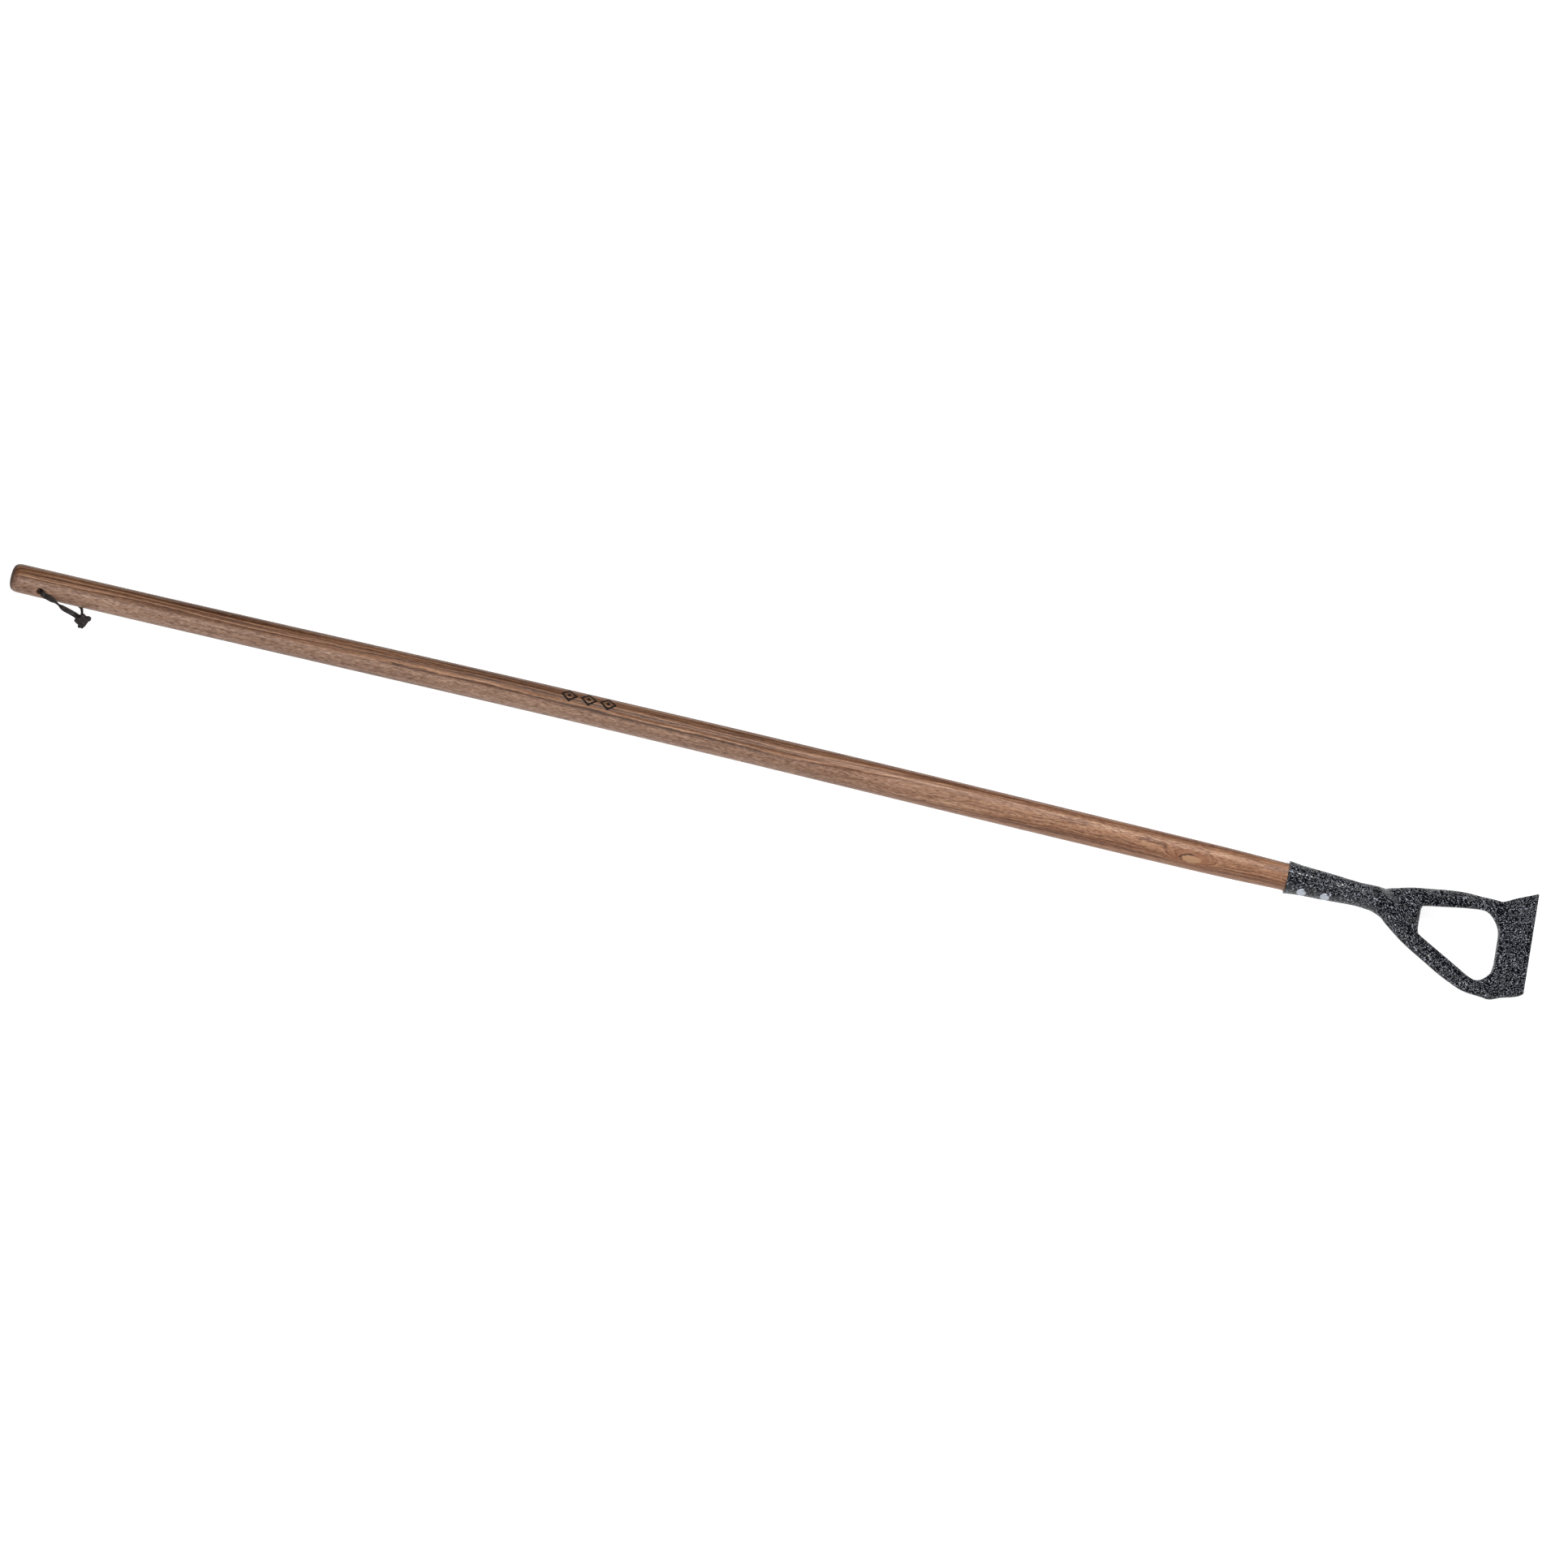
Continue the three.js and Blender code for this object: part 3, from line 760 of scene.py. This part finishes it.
def make_rivets():
    metal = make_rivet_metal()
    for number, station in enumerate(RIVET_STATIONS, 1):
        rows = rivet_profile(float(hermite(SOCKET_PROFILE, station)))
        rows[0][1] = POLE_RADIUS
        rows[-1][1] = POLE_RADIUS
        points, faces = lathe(rows, RIVET_SIDES)
        along, across, up = points.T
        place = np.stack([station + across, -along, up], axis=1)
        piece = add_mesh(f"rivet_{number}_domed", to_world(place), faces)
        piece.data.materials.append(metal)
        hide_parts(f"rivet_{number}")
        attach(piece, "root")


make_rivets()

# ------------------------------------------------------------------ ash handle
HANDLE_BOW = 4.0
HANDLE_SIDES = 96
WOOD_CLEARANCE = 0.35
SHAFT_STARTS = BUTT_X + 9
SHAFT_ENDS = -4
SHAFT_STEPS = 420
TENON_STARTS = 1
TENON_ENDS = 79
TENON_STEPS = 27
BORE_REACH = 30
BORE_SIDES = 40
HANDLE_PROFILE = [
    [SHAFT_STARTS, BUTT_RADIUS], [-1070, 14.35], [-853, 14.7], [-707, 14.9], [-560, 15.25],
    [-400, 15.5], [-216, 15.4], [-120, 15.2], [-53, 14.7], [-18, 13.9], [SHAFT_ENDS, 13.6],
]
BUTT_ROUND = [
    [0, POLE_RADIUS], [0.05, 2.5], [0.3, 5.5], [0.7, 7.7], [1.3, 9.6], [2, 11.1], [3, 12.2], [4.2, 13.05],
    [5.6, 13.6], [7.2, 13.95],
]


def handle_rows():
    butt = [[BUTT_X + x, radius] for x, radius in BUTT_ROUND]
    along = np.linspace(SHAFT_STARTS, SHAFT_ENDS, SHAFT_STEPS)
    shaft = [[x, float(hermite(HANDLE_PROFILE, x))] for x in along]
    along = np.linspace(TENON_STARTS, TENON_ENDS, TENON_STEPS)
    inset = SOCKET_WALL + WOOD_CLEARANCE
    tenon = [[x, float(hermite(SOCKET_PROFILE, x)) - inset] for x in along]
    tip = [[HANDLE_IN_SOCKET - 1, 6.5], [HANDLE_IN_SOCKET, 4], [HANDLE_IN_SOCKET, POLE_RADIUS]]
    return butt + shaft + tenon + tip


def cross_bore(x, radius, roll):
    points, faces = lathe([[-BORE_REACH, radius], [BORE_REACH, radius]], BORE_SIDES)
    along, across, up = points.T
    place = np.stack([across, -along, up], axis=1)
    turn = np.array(Matrix.Rotation(-roll, 3, "X"))
    return add_mesh("cutter", to_world(place @ turn.T + np.array([x, 0, 0])), faces, smooth=False)


def make_handle():
    points, faces = lathe(handle_rows(), HANDLE_SIDES)
    share = np.clip(points[:, 0] / BUTT_X, 0, 1)
    points[:, 2] += HANDLE_BOW * np.sin(math.pi * share) ** 2
    piece = add_mesh("turned_ash_handle", to_world(points), faces)
    cutters = [cross_bore(BUTT_X + HOLE_FROM_BUTT, HOLE_RADIUS, HOLE_ROLL)]
    cutters += [cross_bore(x, RIVET_BORE_RADIUS, 0) for x in RIVET_STATIONS]
    for cutter in cutters:
        cut = piece.modifiers.new("bore", "BOOLEAN")
        cut.object = cutter
        cut.solver = "EXACT"
    apply_modifiers(piece)
    for cutter in cutters:
        bpy.data.objects.remove(cutter)
    return piece


# Ash: growth rings lie in nearly flat layers. The way the layers face turns along the shaft,
# so that the front is flat-sawn by the butt and the top is flat-sawn by the socket.
LAYERS_FACE_AT_BUTT = math.radians(23)
LAYERS_FACE_AT_SOCKET = math.radians(66)
RING_WIDTH = 0.0037
FINE_RING_WIDTH = 0.0021
COOL_ENDS = -0.62
WARM_STARTS = -0.12
WOOD_KNOT_PLACE = (-0.096, -0.0129, 0.0080)
COOL_WOOD = [
    (0.0, (0.024, 0.011, 0.007)), (0.3, (0.085, 0.04, 0.023)), (0.5, (0.168, 0.091, 0.058)),
    (0.72, (0.26, 0.158, 0.11)), (1.0, (0.5, 0.35, 0.26)),
]
WARM_WOOD = [
    (0.0, (0.04, 0.015, 0.008)), (0.3, (0.125, 0.05, 0.025)), (0.5, (0.228, 0.107, 0.057)),
    (0.72, (0.31, 0.168, 0.094)), (1.0, (0.5, 0.32, 0.2)),
]
KNOT_SHADE = (0.2, 0.075, 0.035)
KNOT_HEART = (0.37, 0.215, 0.118)
KNOT_CRESCENT = (0.035, 0.014, 0.008)
CHARRED = (0.004, 0.0025, 0.002)
HANDLED_BUTT = (0.035, 0.018, 0.011)
BRAND_X = -0.7065
BRAND_PITCH = 0.0195
BRAND_RISE = 0.0074
BRAND_COUNT = 3


def burnt_lozenges(s, along, across):
    """A row of small hollow lozenges burnt into the top of the handle: 1 where it is charred."""
    run = s.math("SUBTRACT", along, BRAND_X - BRAND_PITCH * BRAND_COUNT / 2)
    step = s.math("SUBTRACT", s.math("FRACT", s.math("DIVIDE", run, BRAND_PITCH)), 0.5)
    reach = s.math("MULTIPLY", s.math("ABSOLUTE", step), 2.1)
    rise = s.math("DIVIDE", s.math("ABSOLUTE", across), BRAND_RISE)
    size = s.math("ADD", reach, rise)
    line = s.range(s.math("ABSOLUTE", s.math("SUBTRACT", size, 0.8)), 0.15, 0.2, 1.0, 0.0)
    dot = s.range(size, 0.26, 0.32, 1.0, 0.0)
    inside = s.math("COMPARE", run, BRAND_PITCH * BRAND_COUNT / 2, BRAND_PITCH * BRAND_COUNT / 2)
    return s.math("MULTIPLY", s.math("MAXIMUM", line, dot), inside)


def growth_rings(s, layer, width):
    """Dark pore lines and pale late wood, for a coordinate that counts through the layers."""
    ring = s.math("FRACT", s.math("DIVIDE", layer, width))
    early = s.math("MULTIPLY", s.range(ring, 0.0, 0.08), s.range(ring, 0.1, 0.3, 1.0, 0.0))
    late = s.math("MULTIPLY", s.range(ring, 0.6, 0.86), s.range(ring, 0.88, 0.98, 1.0, 0.0))
    return s.math("SUBTRACT", s.math("MULTIPLY", late, 0.26), s.math("MULTIPLY", early, 0.4))


def make_ash():
    s = Shader("stained_ash", Roughness=0.4, Specular_IOR_Level=0.36, Specular_Tint=(1.0, 0.86, 0.78, 1))
    place = s.place()
    parts = s.node("ShaderNodeSeparateXYZ", {"Vector": place})
    along, out, up = parts.outputs["X"], parts.outputs["Y"], parts.outputs["Z"]
    warm = s.range(along, COOL_ENDS, WARM_STARTS)
    cool = s.math("SUBTRACT", 1.0, warm)

    # depth counts through the layers; sawn is 1 where the surface cuts them steeply.
    face = s.range(warm, 0.0, 1.0, LAYERS_FACE_AT_BUTT, LAYERS_FACE_AT_SOCKET)
    sine, cosine = s.math("SINE", face), s.math("COSINE", face)
    depth = s.math("SUBTRACT", s.math("MULTIPLY", sine, up), s.math("MULTIPLY", cosine, out))
    across = s.math("ADD", s.math("MULTIPLY", cosine, up), s.math("MULTIPLY", sine, out))
    sawn = s.range(s.math("ABSOLUTE", across), 0.0055, 0.0115)

    # The rings wander along the shaft and bend round a knot.
    wander = s.math("SUBTRACT", s.noise(s.scaled(place, (3.2, 25, 25)), 1, 2, 0.5), 0.5)
    ripple = s.math("SUBTRACT", s.noise(s.scaled(place, (16, 170, 170)), 1, 3, 0.55), 0.5)
    layer = s.math("ADD", depth, s.math("MULTIPLY", wander, s.range(warm, 0.0, 1.0, 0.007, 0.012)))
    layer = s.math("ADD", layer, s.math("MULTIPLY", ripple, 0.004))
    offset = s.vector("MULTIPLY", s.vector("SUBTRACT", place, WOOD_KNOT_PLACE), (0.4, 1.0, 1.0))
    to_knot = s.vector("LENGTH", offset)
    layer = s.math("ADD", layer, s.range(to_knot, 0.002, 0.014, 0.0052, 0.0))
    broad = s.math("MULTIPLY", growth_rings(s, layer, RING_WIDTH), s.range(sawn, 0.0, 1.0, 0.1, 0.85))
    broad = s.math("MULTIPLY", broad, s.range(warm, 0.0, 1.0, 1.0, 0.45))
    fine = s.math("MULTIPLY", growth_rings(s, layer, FINE_RING_WIDTH), s.range(warm, 0.0, 1.0, 0.1, 0.5))

    # Pores and flecks are short and soft; streaks are long and thin.
    fleck = s.math("SUBTRACT", s.noise(s.scaled(place, (210, 1150, 1150)), 1, 1.5, 0.55, 0.3), 0.5)
    dash = s.range(s.noise(s.scaled(place, (150, 1500, 1500)), 1, 1, 0.5), 0.56, 0.66)
    streak = s.math("SUBTRACT", s.noise(s.scaled(place, (3, 420, 420)), 1, 2, 0.6), 0.5)
    tone = s.math("SUBTRACT", s.noise(s.scaled(place, (6, 45, 45)), 1, 3, 0.55), 0.5)

    value = s.math("ADD", s.math("ADD", 0.56, broad), fine)
    value = s.math("ADD", value, s.math("MULTIPLY", fleck, s.range(sawn, 0.0, 1.0, 1.0, 0.55)))
    value = s.math("SUBTRACT", value, s.math("MULTIPLY", dash, s.range(sawn, 0.0, 1.0, 0.2, 0.12)))
    value = s.math("ADD", value, s.math("MULTIPLY", streak, s.range(sawn, 0.0, 1.0, 0.4, 0.9)))
    value = s.math("ADD", value, s.math("MULTIPLY", tone, 0.4))
    dark_side = s.math("MULTIPLY", sawn, s.range(warm, 0.0, 1.0, 0.12, 0.14))
    value = s.math("SUBTRACT", value, dark_side)
    wood = s.mix(warm, s.ramp(value, *COOL_WOOD), s.ramp(value, *WARM_WOOD))
    amber = s.math("MULTIPLY", sawn, s.math("MULTIPLY", cool, 0.8))
    wood = s.mix(amber, wood, (1.0, 0.84, 0.64), "MULTIPLY")

    # The knot: a reddish shade, a pale heart, and a dark crescent over the heart's upper left.
    shade = s.range(to_knot, 0.0035, 0.012, 0.55, 0.0)
    wood = s.mix(shade, wood, KNOT_SHADE)
    ragged = s.math("MULTIPLY", fleck, 0.004)
    edge = s.math("ADD", to_knot, ragged)
    heart = s.range(edge, 0.0032, 0.0044, 0.72, 0.0)
    wood = s.mix(heart, wood, KNOT_HEART)
    upper_left = s.range(s.vector("DOT_PRODUCT", offset, (-0.75, 0.3, 0.6)), 0.0006, 0.0024)
    band = s.math("MULTIPLY", s.range(edge, 0.0034, 0.004), s.range(edge, 0.0044, 0.0052, 1.0, 0.0))
    wood = s.mix(s.math("MULTIPLY", band, upper_left), wood, KNOT_CRESCENT)

    char = s.math("MULTIPLY", burnt_lozenges(s, along, out), s.range(up, 0.0, 0.004))
    wood = s.mix(char, wood, CHARRED)
    butt = s.range(along, BUTT_X * MM, (BUTT_X + 5) * MM, 0.75, 0.0)
    wood = s.mix(butt, wood, HANDLED_BUTT)
    s.set("Base Color", wood)
    matt = s.math("MAXIMUM", char, s.math("MULTIPLY", butt, 1.6, clamp=True))
    s.set("Roughness", s.math("ADD", s.range(fleck, -0.2, 0.2, 0.42, 0.26), s.math("MULTIPLY", matt, 0.6)))
    glint = s.noise(s.scaled(place, (900, 2400, 2400)), 1, 2, 0.6)
    relief = s.math("ADD", value, s.math("MULTIPLY", glint, 0.5))
    relief = s.math("SUBTRACT", relief, s.math("MULTIPLY", char, 0.4))
    s.set("Normal", s.bump(relief, 0.00028, 0.8))
    return s.material


handle = make_handle()
handle.data.materials.clear()
handle.data.materials.append(make_ash())
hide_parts("handle")
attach(handle, "root")

# ------------------------------------------------------------------ stage and light
FLOOR_REACH = 20.0
FLOOR_TONE = 0.3
FLOOR_GLOW = 0.93


def make_floor():
    """A pale floor that glows, as a lit white table does."""
    reach = FLOOR_REACH
    corners = [(-reach, -reach, 0), (reach, -reach, 0), (reach, reach, 0), (-reach, reach, 0)]
    floor = add_mesh("floor", corners, [(0, 1, 2, 3)])
    paint = Shader(
        "floor_paint", Roughness=0.9, Specular_IOR_Level=0.0,
        Base_Color=(FLOOR_TONE, FLOOR_TONE, FLOOR_TONE, 1),
        Emission_Color=(1, 1, 1, 1), Emission_Strength=FLOOR_GLOW,
    )
    floor.data.materials.append(paint.material)


WALL_LIGHT = 0.48
CEILING_LIGHT = 0.1
CEILING_STARTS = (0.12, 0.4)


def make_world():
    """A studio with pale walls and a dark ceiling, so that gloss shows the lights and the floor."""
    world = bpy.data.worlds.new("world")
    bpy.context.scene.world = world
    world.use_nodes = True
    nodes, links = world.node_tree.nodes, world.node_tree.links
    direction = nodes.new("ShaderNodeTexCoord")
    split = nodes.new("ShaderNodeSeparateXYZ")
    fall = nodes.new("ShaderNodeMapRange")
    fall.inputs["From Min"].default_value = CEILING_STARTS[0]
    fall.inputs["From Max"].default_value = CEILING_STARTS[1]
    fall.inputs["To Min"].default_value = WALL_LIGHT
    fall.inputs["To Max"].default_value = CEILING_LIGHT
    links.new(direction.outputs["Generated"], split.inputs["Vector"])
    links.new(split.outputs["Z"], fall.inputs["Value"])
    links.new(fall.outputs["Result"], nodes["Background"].inputs["Strength"])


def add_light(name, along, elevation, distance, size, power):
    """A soft box abreast of the point at along on the X axis, which it looks at. Elevation 0 is
    in front, at -Y, and 90 overhead; its long side runs with the handle."""
    up = math.radians(elevation)
    way = Vector((0, -math.cos(up), math.sin(up)))
    data = bpy.data.lights.new(name, "AREA")
    data.shape = "RECTANGLE"
    data.size, data.size_y = size
    data.energy = power
    light = bpy.data.objects.new(name, data)
    side = Vector((1, 0, 0))
    light.matrix_world = Matrix.Translation(side * along + way * distance) @ Matrix(
        (side, way.cross(side), way)
    ).transposed().to_4x4()
    bpy.context.scene.collection.objects.link(light)


bpy.context.scene.view_settings.view_transform = "Standard"
make_floor()
make_world()
add_light("front_softbox", along=-0.9, elevation=36, distance=3.0, size=(2.7, 0.55), power=82)
add_light("overhead_softbox", along=0.8, elevation=98, distance=2.6, size=(1.7, 0.24), power=76)
